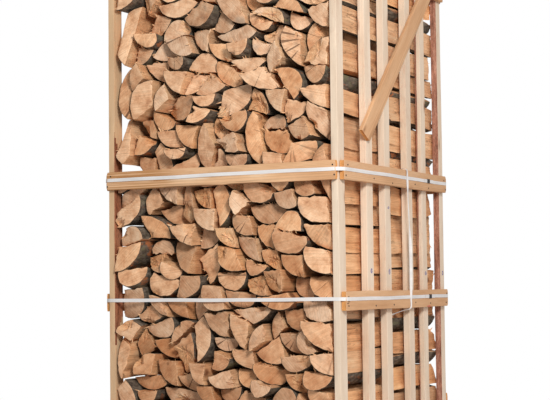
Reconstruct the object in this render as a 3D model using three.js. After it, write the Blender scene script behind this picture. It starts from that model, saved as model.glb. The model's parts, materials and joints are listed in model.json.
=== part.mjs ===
// A crate of split firewood: two rows of half-metre logs stacked in an open timber crate on three
// skids, with slatted sides, cross boards front and back, one diagonal brace on each side, two
// tight packing straps around everything and one loose strap tied over the right-hand side.
//
// Millimetres, +Z up. X runs across the front from left to right, Y runs from front to back.
// The origin is on the ground under the middle of the crate.

import * as THREE from 'three';

// ---- Driving dimensions ----------------------------------------------------------------------

const CRATE_WIDTH = 1100; // across the outer faces of the corner posts
const CRATE_DEPTH = 1120; // from the front faces of the posts to the back faces
const CRATE_HEIGHT = 2090; // ground to the tops of the posts
const FIT_GAP = 0.3; // space kept between pieces that touch

const SKID_WIDTH = 80;
const SKID_HEIGHT = 92;
const DECK_THICKNESS = 18;
const DECK_BOARD_WIDTH = 100;
const DECK_BOARD_COUNT = 8;
const DECK_SETBACK = 4; // from the post faces to the first and last deck board

const SLAT_THICKNESS = 30;
const SLAT_FOOT = 12; // posts and slats stop this far above the ground

const SIDE_BOARD_THICKNESS = 22;
const SIDE_BOARD_SETBACK = 12; // from the post faces to the ends of the side boards
const FRONT_BOARD_THICKNESS = 20;
const FRONT_BOARD_SETBACK = 2; // from the posts' outer faces to the ends of the front boards
const BOARD_HEIGHT = 78;

// Lower edges of the boards.
const SIDE_BOARD_LEVELS = { base: 30, lower: 591, middle: 1112, top: 2004 };
const FRONT_BOARD_LEVELS = { base: 112, middle: 1112, top: 2004 };

// Posts and slats of one side, from front to back: name, front edge in Y, width.
const UPRIGHTS = [
  ['post_front', -CRATE_DEPTH / 2, 62],
  ['slat_1', -292, 62],
  ['slat_2', -103, 58],
  ['slat_3', 139, 56],
  ['slat_4', 304, 54],
  ['post_back', CRATE_DEPTH / 2 - 50, 50],
];

const BRACE_THICKNESS = 18;

const STRAP_WIDTH = 15;
const STRAP_THICKNESS = 1;
const MIDDLE_STRAP_HEIGHT = 1155; // centre line, over the middle boards
const LOWER_STRAP_HEIGHT = 638; // centre line, over the log ends and the lower side boards
const SEAL_LENGTH = 30;
const SEAL_HEIGHT = 18;
const SEAL_THICKNESS = 1.2;
const SEAL_FROM_MIDDLE = 327; // centre of each seal, behind the crate's middle

const LOG_LENGTH = 520;
const ROW_REACH = 575; // the foremost log ends, from the crate's middle
const ROW_HALF_WIDTH = 512;
const ROW_TOP = 2040;
const ROW_HELD_REACH = 556; // how far the log ends come out behind a board or strap

// ---- Materials -------------------------------------------------------------------------------

const slatWood = new THREE.MeshStandardMaterial({ color: 0xe6cfb0, roughness: 0.75, metalness: 0 });
const boardWood = new THREE.MeshStandardMaterial({ color: 0xd2a473, roughness: 0.75, metalness: 0 });
const baseWood = new THREE.MeshStandardMaterial({ color: 0xb58f68, roughness: 0.85, metalness: 0 });
const logWood = new THREE.MeshStandardMaterial({ color: 0xc99a6b, roughness: 0.85, metalness: 0 });
const strapPlastic = new THREE.MeshStandardMaterial({ color: 0xe8e4e0, roughness: 0.35, metalness: 0 });
const sealSteel = new THREE.MeshStandardMaterial({ color: 0x3a3634, roughness: 0.45, metalness: 0.8 });

// ---- Shared makers ---------------------------------------------------------------------------

const crate = new THREE.Group();

function add(parent, name, geometry, material) {
  const mesh = new THREE.Mesh(geometry, material);
  mesh.name = name;
  parent.add(mesh);
  return mesh;
}

// A straight piece of timber between two opposite corners.
function timber(parent, name, low, high, material) {
  const size = high.map((value, axis) => value - low[axis]);
  const middle = high.map((value, axis) => (value + low[axis]) / 2);
  const mesh = add(parent, name, new THREE.BoxGeometry(...size), material);
  mesh.position.set(...middle);
  return mesh;
}

// An outline drawn in Y and Z, made solid from x to x + thickness.
function sidePlate(outline, thickness) {
  const shape = new THREE.Shape(outline.map(([y, z]) => new THREE.Vector2(y, z)));
  const geometry = new THREE.ExtrudeGeometry(shape, { depth: thickness, bevelEnabled: false });
  const toSide = new THREE.Matrix4().makeBasis(
    new THREE.Vector3(0, 1, 0),
    new THREE.Vector3(0, 0, 1),
    new THREE.Vector3(1, 0, 0),
  );
  return geometry.applyMatrix4(toSide);
}

// ---- Base: three skids and the deck boards across them ------------------------------------------

const uprightInside = CRATE_WIDTH / 2 - SLAT_THICKNESS;
const deckTop = SKID_HEIGHT + FIT_GAP + DECK_THICKNESS;

function addBase(parent) {
  const skidReach = uprightInside - FIT_GAP;
  const skids = {
    skid_left: -skidReach,
    skid_middle: -SKID_WIDTH / 2,
    skid_right: skidReach - SKID_WIDTH,
  };
  for (const [name, x] of Object.entries(skids)) {
    const low = [x, -CRATE_DEPTH / 2, 0];
    const high = [x + SKID_WIDTH, CRATE_DEPTH / 2, SKID_HEIGHT];
    timber(parent, name, low, high, baseWood);
  }
  const firstEdge = -CRATE_DEPTH / 2 + DECK_SETBACK;
  const pitch = (-2 * firstEdge - DECK_BOARD_WIDTH) / (DECK_BOARD_COUNT - 1);
  for (let i = 0; i < DECK_BOARD_COUNT; i += 1) {
    const y = firstEdge + i * pitch;
    const low = [-skidReach, y, SKID_HEIGHT + FIT_GAP];
    const high = [skidReach, y + DECK_BOARD_WIDTH, deckTop];
    timber(parent, `deck_board_${i + 1}`, low, high, baseWood);
  }
}

// ---- Slatted sides -----------------------------------------------------------------------------

// Builds one side on the right (mirror = 1) or on the left (mirror = -1).
function addSide(parent, side, mirror) {
  const span = (from, to) => (mirror > 0 ? [from, to] : [-to, -from]);
  const [slatLow, slatHigh] = span(uprightInside, CRATE_WIDTH / 2);
  for (const [name, y, width] of UPRIGHTS) {
    const low = [slatLow, y, SLAT_FOOT];
    const high = [slatHigh, y + width, CRATE_HEIGHT];
    timber(parent, `${side}_${name}`, low, high, slatWood);
  }
  const boardInside = CRATE_WIDTH / 2 + FIT_GAP;
  const [boardLow, boardHigh] = span(boardInside, boardInside + SIDE_BOARD_THICKNESS);
  const end = CRATE_DEPTH / 2 - SIDE_BOARD_SETBACK;
  for (const [level, z] of Object.entries(SIDE_BOARD_LEVELS)) {
    const low = [boardLow, -end, z];
    const high = [boardHigh, end, z + BOARD_HEIGHT];
    timber(parent, `${side}_side_board_${level}`, low, high, boardWood);
  }
  const brace = add(parent, `${side}_brace`, sidePlate(braceOutline(), BRACE_THICKNESS), boardWood);
  brace.position.x = mirror > 0 ? boardInside : -boardInside - BRACE_THICKNESS;
}

// The brace rises from just in front of the first slat to the underside of the top board.
function braceOutline() {
  const slope = Math.tan(THREE.MathUtils.degToRad(45.6));
  const top = SIDE_BOARD_LEVELS.top - 2;
  const frontFoot = [-365, 1325];
  const backFoot = [-289, 1285];
  const reach = ([y, z]) => [y + (top - z) / slope, top];
  return [frontFoot, backFoot, reach(backFoot), reach(frontFoot)];
}

// ---- Cross boards on the front and the back -----------------------------------------------------

function addCrossBoards(parent, side, mirror) {
  const inside = CRATE_DEPTH / 2 + FIT_GAP;
  const outside = inside + FRONT_BOARD_THICKNESS;
  const [yLow, yHigh] = mirror > 0 ? [inside, outside] : [-outside, -inside];
  const end = CRATE_WIDTH / 2 - FRONT_BOARD_SETBACK;
  for (const [level, z] of Object.entries(FRONT_BOARD_LEVELS)) {
    timber(parent, `${side}_board_${level}`, [-end, yLow, z], [end, yHigh, z + BOARD_HEIGHT], boardWood);
  }
}

// ---- Firewood ----------------------------------------------------------------------------------

// Each row of logs is one solid that reaches the outermost log ends. The ends bulge out between
// the boards and the lower strap, and are held back behind them.
function rowOutline() {
  const bottom = deckTop + FIT_GAP;
  const clear = 8; // above and below each board
  const held = Object.values(FRONT_BOARD_LEVELS).map((z) => [z - clear, z + BOARD_HEIGHT + clear]);
  held.push([LOWER_STRAP_HEIGHT - STRAP_WIDTH, LOWER_STRAP_HEIGHT + STRAP_WIDTH]);
  held.sort((a, b) => a[0] - b[0]);
  const outline = [[ROW_REACH - LOG_LENGTH, bottom], [ROW_HELD_REACH, bottom]];
  for (const [from, to] of held) {
    if (from > bottom) {
      outline.push([ROW_REACH, from], [ROW_HELD_REACH, from]);
    }
    if (to < ROW_TOP) {
      outline.push([ROW_HELD_REACH, to], [ROW_REACH, to]);
    }
  }
  outline.push([ROW_HELD_REACH, ROW_TOP], [ROW_REACH - LOG_LENGTH, ROW_TOP]);
  return outline;
}

function addFirewood(parent) {
  const back = add(parent, 'firewood_back_row', sidePlate(rowOutline(), 2 * ROW_HALF_WIDTH), logWood);
  back.position.x = -ROW_HALF_WIDTH;
  const front = add(parent, 'firewood_front_row', back.geometry.clone(), logWood);
  front.rotation.z = Math.PI;
  front.position.x = ROW_HALF_WIDTH;
}

// ---- Packing straps ----------------------------------------------------------------------------

// A convex outline moved outward by a distance; the points run anticlockwise.
function grownOutline(points, distance) {
  const count = points.length;
  const edges = points.map((from, i) => {
    const along = points[(i + 1) % count].clone().sub(from).normalize();
    const outward = new THREE.Vector2(along.y, -along.x);
    return { along, start: from.clone().addScaledVector(outward, distance) };
  });
  return edges.map((edge, i) => {
    const before = edges[(i + count - 1) % count];
    const between = edge.start.clone().sub(before.start);
    const travel = between.cross(edge.along) / before.along.cross(edge.along);
    return before.start.clone().addScaledVector(before.along, travel);
  });
}

// What a tight strap touches, seen from above: the front and back faces, and the ends of the sides.
function wrapOutline(faceEnd, faceReach) {
  const sideReach = CRATE_WIDTH / 2 + FIT_GAP + SIDE_BOARD_THICKNESS;
  const sideEnd = CRATE_DEPTH / 2 - SIDE_BOARD_SETBACK;
  const quarter = [[sideReach, sideEnd], [faceEnd, faceReach]];
  const points = [
    ...quarter,
    ...quarter.map(([x, y]) => [-x, y]).reverse(),
    ...quarter.map(([x, y]) => [-x, -y]),
    ...quarter.map(([x, y]) => [x, -y]).reverse(),
  ];
  return points.map(([x, y]) => new THREE.Vector2(x, y));
}

function strapRing(touching) {
  const shape = new THREE.Shape(grownOutline(touching, FIT_GAP + STRAP_THICKNESS));
  shape.holes.push(new THREE.Path(grownOutline(touching, FIT_GAP)));
  return new THREE.ExtrudeGeometry(shape, { depth: STRAP_WIDTH, bevelEnabled: false });
}

function addStraps(parent) {
  const boardReach = CRATE_DEPTH / 2 + FIT_GAP + FRONT_BOARD_THICKNESS;
  const overBoards = wrapOutline(CRATE_WIDTH / 2 - FRONT_BOARD_SETBACK, boardReach);
  const overPosts = wrapOutline(CRATE_WIDTH / 2, CRATE_DEPTH / 2);
  const straps = { middle: [MIDDLE_STRAP_HEIGHT, overBoards], lower: [LOWER_STRAP_HEIGHT, overPosts] };
  const sealInside = CRATE_WIDTH / 2 + SIDE_BOARD_THICKNESS + STRAP_THICKNESS + 3 * FIT_GAP;
  for (const [name, [height, touching]] of Object.entries(straps)) {
    const ring = add(parent, `strap_${name}`, strapRing(touching), strapPlastic);
    ring.position.z = height - STRAP_WIDTH / 2;
    const sealBase = height - SEAL_HEIGHT / 2;
    const sealFront = SEAL_FROM_MIDDLE - SEAL_LENGTH / 2;
    const low = [sealInside, sealFront, sealBase];
    const high = [sealInside + SEAL_THICKNESS, sealFront + SEAL_LENGTH, sealBase + SEAL_HEIGHT];
    timber(parent, `strap_seal_${name}`, low, high, sealSteel);
  }
}

// A ribbon along a smooth route: at every station a flat rectangle, as wide as widthAt says.
function ribbonSolid(route, stations, widthAt, thickness) {
  const corners = [];
  for (let i = 0; i <= stations; i += 1) {
    const t = i / stations;
    const centre = route.getPointAt(t);
    const along = route.getTangentAt(t);
    const faceNormal = new THREE.Vector3().crossVectors(along, new THREE.Vector3(0, 1, 0)).normalize();
    const across = new THREE.Vector3().crossVectors(faceNormal, along).normalize();
    for (const [side, face] of [[-1, -1], [1, -1], [1, 1], [-1, 1]]) {
      const corner = centre.clone();
      corner.addScaledVector(across, (side * widthAt(t)) / 2);
      corner.addScaledVector(faceNormal, (face * thickness) / 2);
      corners.push(corner);
    }
  }
  const triangles = [];
  const quad = (a, b, c, d) => triangles.push([a, b, c], [a, c, d]);
  for (let i = 0; i < stations; i += 1) {
    for (let k = 0; k < 4; k += 1) {
      const next = (k + 1) % 4;
      quad(4 * i + k, 4 * i + next, 4 * (i + 1) + next, 4 * (i + 1) + k);
    }
  }
  const last = 4 * stations;
  quad(3, 2, 1, 0);
  quad(last, last + 1, last + 2, last + 3);
  const positions = triangles.flat().flatMap((index) => corners[index].toArray());
  const geometry = new THREE.BufferGeometry();
  geometry.setAttribute('position', new THREE.Float32BufferAttribute(positions, 3));
  return geometry;
}

// The loose strap hangs over the middle board, passes outside the two tight straps, turns under
// the lower board and runs back in behind the second slat.
function addStrapTie(parent) {
  const route = new THREE.CatmullRomCurve3(
    [
      [541, 77, 1128],
      [542, 77, 1165],
      [545, 77, 1189],
      [553, 77, 1196],
      [567, 78, 1196],
      [575.5, 78, 1189],
      [576.5, 79, 1155],
      [576.5, 82, 1110],
      [580, 88, 960],
      [580, 95, 800],
      [576.5, 102, 672],
      [576.5, 104, 638],
      [575.5, 104, 591],
      [567, 103, 584],
      [553, 100, 581],
      [540, 88, 577],
      [522, 40, 566],
      [516, -10, 556],
      [516, -72, 545],
    ].map((point) => new THREE.Vector3(...point)),
    false,
    'centripetal',
  );
  const widthAt = (t) => 5 + 8 * Math.sin(Math.PI * THREE.MathUtils.clamp((t - 0.12) / 0.7, 0, 1)) ** 2;
  add(parent, 'strap_tie', ribbonSolid(route, 56, widthAt, STRAP_THICKNESS), strapPlastic);
}

// ---- The whole crate ---------------------------------------------------------------------------

addBase(crate);
addSide(crate, 'right', 1);
addSide(crate, 'left', -1);
addCrossBoards(crate, 'front', -1);
addCrossBoards(crate, 'back', 1);
addFirewood(crate);
addStraps(crate);
addStrapTie(crate);

export default crate;
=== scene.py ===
"""A strapped crate of split firewood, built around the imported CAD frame. Metres, +Z up.

The timber, straps and seals each follow the place of their CAD node. The two rows of firewood are
stacked here: split log sections are piled up one by one where they fit best, and every log is then
built as a closed mesh with sawn ends, torn split faces and bark.
"""
import json
import math

import bpy
import numpy as np
from mathutils import Matrix, Vector


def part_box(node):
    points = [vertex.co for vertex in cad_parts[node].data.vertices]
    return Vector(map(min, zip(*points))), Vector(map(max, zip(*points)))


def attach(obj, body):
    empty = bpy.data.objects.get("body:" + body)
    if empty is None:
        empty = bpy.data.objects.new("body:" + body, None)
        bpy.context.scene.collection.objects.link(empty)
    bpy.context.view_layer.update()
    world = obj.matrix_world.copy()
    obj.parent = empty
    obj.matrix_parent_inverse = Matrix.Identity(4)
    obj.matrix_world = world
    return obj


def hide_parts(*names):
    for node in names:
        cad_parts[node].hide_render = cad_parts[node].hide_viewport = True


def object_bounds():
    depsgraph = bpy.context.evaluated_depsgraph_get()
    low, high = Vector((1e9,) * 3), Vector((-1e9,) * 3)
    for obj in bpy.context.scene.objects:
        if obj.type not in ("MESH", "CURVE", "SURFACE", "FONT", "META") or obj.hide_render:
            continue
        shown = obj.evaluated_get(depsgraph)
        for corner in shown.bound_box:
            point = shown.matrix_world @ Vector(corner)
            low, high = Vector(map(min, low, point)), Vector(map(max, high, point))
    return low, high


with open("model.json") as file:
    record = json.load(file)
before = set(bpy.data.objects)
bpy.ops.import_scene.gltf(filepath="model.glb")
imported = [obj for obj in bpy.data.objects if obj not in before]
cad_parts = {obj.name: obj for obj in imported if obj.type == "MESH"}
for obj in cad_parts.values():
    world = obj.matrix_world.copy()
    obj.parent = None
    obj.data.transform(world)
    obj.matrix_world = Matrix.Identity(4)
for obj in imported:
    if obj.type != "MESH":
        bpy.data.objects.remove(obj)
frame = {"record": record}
cad_low, cad_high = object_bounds()


# ---- Small helpers --------------------------------------------------------------------------


def span(node):
    """The lowest and highest corners of a CAD node as arrays."""
    low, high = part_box(node)
    return np.array(low), np.array(high)


def unit(vectors):
    """The vectors scaled to a length of one."""
    return vectors / np.linalg.norm(vectors, axis=-1, keepdims=True)


def travelled(points):
    """How far along a line of points each of them lies."""
    return np.concatenate([[0], np.cumsum(np.linalg.norm(np.diff(points, axis=0), axis=1))])


def outward(points):
    """The outward way at each point of a closed, anticlockwise outline."""
    ahead = np.roll(points, -1, 0) - np.roll(points, 1, 0)
    return unit(np.stack([ahead[:, 1], -ahead[:, 0]], 1))


def ring_faces(index, closed=False):
    """Quads between rows of point numbers that each run round a ring; closed joins the last row on."""
    here, there = (index, np.roll(index, -1, 0)) if closed else (index[:-1], index[1:])
    return np.stack([here, np.roll(here, -1, 1), np.roll(there, -1, 1), there], -1).reshape(-1, 4)


def numbered(rings):
    """The point numbers of a stack of rings, row by row."""
    return np.arange(rings.shape[0] * rings.shape[1]).reshape(rings.shape[:2])


def close_ends(rings):
    """Faces over both ends of a stack of rings; the added points are a half-size ring and a middle."""
    rows, count = rings.shape[:2]
    added, faces = [], []
    start = rows * count
    for row in (0, rows - 1):
        loop = row * count + np.arange(count)
        centre = rings[row].mean(0)
        added += [*(centre + (rings[row] - centre) * 0.5), centre]
        for j in range(count):
            k = (j + 1) % count
            quad = (loop[j], loop[k], start + k, start + j)
            tri = (start + j, start + k, start + count)
            faces += [quad, tri] if row else [quad[::-1], tri[::-1]]
        start += count + 1
    return np.array(added), faces


def make_piece(name, points, faces, materials, face_slots=None, vectors=None, sharp=None):
    """A mesh object from arrays.

    vectors are named point attributes of three numbers. sharp is the angle in degrees above which
    an edge stays sharp; without it every face is flat.
    """
    mesh = bpy.data.meshes.new(name)
    mesh.from_pydata([tuple(p) for p in np.asarray(points, float)], [], [tuple(f) for f in faces])
    for material in materials:
        mesh.materials.append(material)
    if face_slots is not None:
        mesh.polygons.foreach_set("material_index", np.asarray(face_slots, np.int32))
    for key, values in (vectors or {}).items():
        layer = mesh.attributes.new(key, "FLOAT_VECTOR", "POINT")
        layer.data.foreach_set("vector", np.asarray(values, np.float32).ravel())
    if sharp:
        mesh.shade_smooth()
    mesh.update()
    if sharp:
        mesh.set_sharp_from_angle(angle=math.radians(sharp))
    piece = bpy.data.objects.new(name, mesh)
    bpy.context.collection.objects.link(piece)
    return piece


def carry(piece, slot, *nodes):
    """The piece rides on the crate and stands for CAD nodes, which are hidden; slot is not used."""
    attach(piece, "root")
    if nodes:
        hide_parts(*nodes)


def add_tube(name, rings, material, sharp, slot, *nodes):
    """A piece made of rings of points with both ends filled."""
    ends, end_faces = close_ends(rings)
    points = np.concatenate([rings.reshape(-1, 3), ends])
    faces = ring_faces(numbered(rings)).tolist() + end_faces
    carry(make_piece(name, points, faces, [material], sharp=sharp), slot, *nodes)


# ---- Shader building ------------------------------------------------------------------------


def rgb(red, green, blue):
    """A screen colour in 0-255 as linear RGBA."""
    values = np.array([red, green, blue]) / 255
    values = np.where(values <= 0.04045, values / 12.92, ((values + 0.055) / 1.055) ** 2.4)
    return (*values, 1.0)


class Value:
    """A number or colour that varies over a surface; arithmetic on it adds Math nodes."""

    def __init__(self, surface, socket):
        self.surface = surface
        self.socket = socket

    def __add__(self, other):
        return self.surface.math("ADD", self, other)

    def __sub__(self, other):
        return self.surface.math("SUBTRACT", self, other)

    def __mul__(self, other):
        return self.surface.math("MULTIPLY", self, other)

    def step(self, low, high, to_low=0.0, to_high=1.0):
        """A smooth change from to_low to to_high while this value goes from low to high."""
        ends = {"Value": self, "From Min": low, "From Max": high, "To Min": to_low, "To Max": to_high}
        return self.surface.add("MapRange", ends, interpolation_type="SMOOTHSTEP")


class Surface:
    """A material built from nodes; its methods return values to feed on."""

    def __init__(self, name, roughness=0.8, specular=0.35):
        self.material = bpy.data.materials.new(name)
        self.material.use_nodes = True
        self.tree = self.material.node_tree
        self.shader = self.tree.nodes["Principled BSDF"]
        self.shader.inputs["Roughness"].default_value = roughness
        self.shader.inputs["Specular IOR Level"].default_value = specular
        self.colour = None
        self.normal = None

    def feed(self, socket, value):
        if isinstance(value, Value):
            self.tree.links.new(value.socket, socket)
        else:
            socket.default_value = value

    def add(self, kind, inputs, output=0, **settings):
        """One of the outputs of a new node; inputs and output go by name or number."""
        node = self.tree.nodes.new("ShaderNode" + kind)
        for key, value in settings.items():
            setattr(node, key, value)
        for key, value in inputs.items():
            self.feed(node.inputs[key], value)
        return Value(self, node.outputs[output])

    def attribute(self, name):
        return self.add("Attribute", {}, "Vector", attribute_name=name)

    def wood(self):
        """The place in the tree and the piece's three random numbers."""
        return self.attribute("wood"), self.parts(self.attribute("tone"))

    def place_on_crate(self):
        return self.add("TexCoord", {}, "Object")

    def parts(self, vector):
        split = self.add("SeparateXYZ", {0: vector})
        return [Value(self, output) for output in split.socket.node.outputs]

    def joined(self, x, y, z=0.0):
        return self.add("CombineXYZ", {0: x, 1: y, 2: z})

    def scaled(self, place, scale, offset=(0, 0, 0), way="POINT"):
        return self.add("Mapping", {"Vector": place, "Scale": scale, "Location": offset}, vector_type=way)

    def noise(self, place, scale, detail=2.0, roughness=0.5, distortion=0.0, offset=(0, 0, 0)):
        """Noise from 0 to 1; scale is its fineness along each axis, or along all three."""
        scale = scale if isinstance(scale, tuple) else (scale, scale, scale)
        inputs = {"Vector": self.scaled(place, scale, offset), "Scale": 1.0, "Detail": detail}
        inputs |= {"Roughness": roughness, "Distortion": distortion}
        return self.add("TexNoise", inputs, "Fac")

    def cells(self, place, scale, offset=(0, 0, 0)):
        """How far off the nearest of many scattered points is."""
        inputs = {"Vector": self.scaled(place, scale, offset), "Scale": 1.0}
        return self.add("TexVoronoi", inputs, "Distance")

    def math(self, operation, *values):
        return self.add("Math", dict(enumerate(values)), operation=operation)

    def length(self, vector):
        return self.add("VectorMath", {0: vector}, "Value", operation="LENGTH")

    def ramp(self, value, stops):
        """A colour between stops, each of which is a value and a linear colour."""
        made = self.tree.nodes.new("ShaderNodeValToRGB")
        self.feed(made.inputs[0], value)
        elements = made.color_ramp.elements
        for _ in stops[2:]:
            elements.new(0.5)
        for element, (place, colour) in zip(elements, stops):
            element.position = place
            element.color = colour
        return Value(self, made.outputs[0])

    def tones(self, value, *stops):
        """Starts with a colour between stops, each of which is a value and a screen colour."""
        self.colour = self.ramp(value, [(place, rgb(*colour)) for place, *colour in stops])

    def blend(self, amount, over, mode="MIX"):
        """Lays a colour over the one that is there, by an amount from 0 to 1."""
        inputs = {0: amount, 6: self.colour, 7: over}
        self.colour = self.add("Mix", inputs, 2, data_type="RGBA", blend_type=mode)

    def paint(self, amount, *screen_colour):
        self.blend(amount, rgb(*screen_colour))

    def shade(self, factor):
        """Makes the colour lighter or darker by a factor."""
        self.colour = self.add("VectorMath", {0: self.colour, "Scale": factor}, operation="SCALE")

    def bump(self, height, distance, strength):
        inputs = {"Strength": strength, "Distance": distance, "Height": height}
        if self.normal is not None:
            inputs["Normal"] = self.normal
        self.normal = self.add("Bump", inputs)

    def done(self):
        self.feed(self.shader.inputs["Base Color"], self.colour)
        if self.normal is not None:
            self.feed(self.shader.inputs["Normal"], self.normal)
        return self.material


# ---- Camera, light and floor ----------------------------------------------------------------

CAMERA_FROM_CORNER = Vector((2.451, -5.104))  # from the near post's outer corner
CAMERA_HEIGHT = 0.70
CAMERA_TURN = math.radians(28.2)  # to the left of straight ahead
CAMERA_TILT = math.radians(3.04)  # upward
CAMERA_ROLL = math.radians(-0.67)
CAMERA_LENS = 93.68
CAMERA_SENSOR = 36
CAMERA_SHIFT_UP = 0.015

# Each lamp: its place from the near post at mid height, its size, power and colour.
LAMPS = {
    "key": (Vector((2.40, -3.05, 1.50)), 0.95, 160, (1.0, 0.965, 0.93)),
    "side_fill": (Vector((3.2, 0.9, 0.2)), 1.6, 11, (1.0, 0.74, 0.62)),
}
SURROUND_SEEN = 1.0  # the surroundings as a white backdrop
SURROUND_LIGHT = 0.42  # and as the soft light that fills the shadows

FLOOR_RADIUS = 2.2
FLOOR_SIDES = 96
FLOOR_SOLID = 0.9  # the floor fades into the surroundings beyond this
FLOOR_COLOUR = (0.78, 0.78, 0.78, 1)


def aim(obj, forward, roll=0.0):
    forward = Vector(forward).normalized()
    right = forward.cross(Vector((0, 0, 1))).normalized()
    up = right.cross(forward)
    turned_right = right * math.cos(roll) + up * math.sin(roll)
    turned_up = up * math.cos(roll) - right * math.sin(roll)
    obj.rotation_euler = Matrix((turned_right, turned_up, -forward)).transposed().to_euler()


def add_camera():
    bpy.context.scene.view_settings.view_transform = "Standard"
    corner_low, corner_high = span("right_post_front")
    camera = bpy.data.objects.new("camera", bpy.data.cameras.new("camera"))
    bpy.context.collection.objects.link(camera)
    x = corner_high[0] + CAMERA_FROM_CORNER.x
    y = corner_low[1] + CAMERA_FROM_CORNER.y
    camera.location = (x, y, CAMERA_HEIGHT)
    level = math.cos(CAMERA_TILT)
    forward = (-math.sin(CAMERA_TURN) * level, math.cos(CAMERA_TURN) * level, math.sin(CAMERA_TILT))
    aim(camera, forward, CAMERA_ROLL)
    camera.data.sensor_width = CAMERA_SENSOR
    camera.data.lens = CAMERA_LENS
    camera.data.shift_y = CAMERA_SHIFT_UP
    bpy.context.scene.camera = camera


def add_light():
    corner_low, corner_high = span("right_post_front")
    corner = Vector((corner_high[0], corner_low[1], cad_high[2] / 2))
    for name, (offset, size, power, colour) in LAMPS.items():
        light = bpy.data.lights.new(name, "AREA")
        light.shape = "DISK"
        light.size = size
        light.energy = power
        light.color = colour
        lamp = bpy.data.objects.new(name, light)
        lamp.location = corner + offset
        aim(lamp, -offset)
        bpy.context.collection.objects.link(lamp)

    world = bpy.data.worlds.new("studio")
    bpy.context.scene.world = world
    world.use_nodes = True
    nodes, links = world.node_tree.nodes, world.node_tree.links
    path = nodes.new("ShaderNodeLightPath")
    choice = nodes.new("ShaderNodeMapRange")
    choice.inputs["To Min"].default_value = SURROUND_LIGHT
    choice.inputs["To Max"].default_value = SURROUND_SEEN
    links.new(path.outputs["Is Camera Ray"], choice.inputs["Value"])
    links.new(choice.outputs[0], nodes["Background"].inputs["Strength"])
    nodes["Background"].inputs["Color"].default_value = (1, 1, 1, 1)


def add_floor():
    """A pale disc whose edge fades away."""
    s = Surface("floor", roughness=0.9, specular=0.5)
    s.colour = FLOOR_COLOUR
    fade = s.length(s.place_on_crate()).step(FLOOR_SOLID, FLOOR_RADIUS * 0.99, 1.0, 0.0)
    s.feed(s.shader.inputs["Alpha"], fade)
    around = np.linspace(0, math.tau, FLOOR_SIDES, endpoint=False)
    points = np.column_stack([np.cos(around), np.sin(around), 0 * around]) * FLOOR_RADIUS
    make_piece("floor", points, [range(FLOOR_SIDES)], [s.done()])


# ---- Materials ------------------------------------------------------------------------------

# The point attribute "wood" is a place in the tree that a piece was cut from, in metres: across
# the trunk from its heart (x, y) and along it (z). "tone" is one set of random numbers a piece; on the logs
# its first number also holds painted light, paler towards the top and beside the slats.

YEAR = 0.0042  # the width of a yearly ring in the logs
TIMBER_YEAR = 0.0048
# Factors on a colour, from one end of a random number's range to the other.
LOG_LIGHTS = [
    (0.0, (0.62, 0.48, 0.35, 1)), (0.5, (0.94, 0.93, 0.88, 1)), (1.0, (1.16, 1.26, 1.28, 1)),
]
LOG_WARMTHS = [
    (0.0, (0.94, 1.0, 1.08, 1)), (0.35, (1.0, 1.0, 1.0, 1)), (0.7, (1.03, 0.98, 0.93, 1)),
    (1.0, (1.04, 0.94, 0.82, 1)),
]
GOLDEN = (0.90, 0.74, 0.56, 1)  # a darker, more golden tone of the left-hand pieces, as a factor
BLUE_CRAYON = (70, 74, 150)
RED_CRAYON = (214, 92, 84)
SCUFF = (240, 214, 184)
GRIME = (120, 82, 50)
DARKER_LEFT_END = (182, 128, 76)
CRACK = (84, 54, 34)
MARK_HEIGHT = 0.745


def rings(s, place, spacing, wander):
    """Yearly rings around the heart, 0 to 1, and the distance from the heart."""
    x, y, _ = s.parts(place)
    out = s.math("SQRT", x * x + y * y)
    far = out + s.noise(place, (14, 14, 1.6)) * wander
    return s.math("SINE", far * (math.tau / spacing)) * 0.5 + 0.5, out


def tint_log(s, tone):
    """Gives each log a colour of its own, from pale to brown and from greyish to orange; the first tone
    number also makes logs paler towards the top and beside the slats, partly as painted light.
    """
    s.blend(1.0, s.ramp(tone[1], LOG_WARMTHS), "MULTIPLY")
    s.blend(1.0, s.ramp(tone[0], LOG_LIGHTS), "MULTIPLY")


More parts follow.
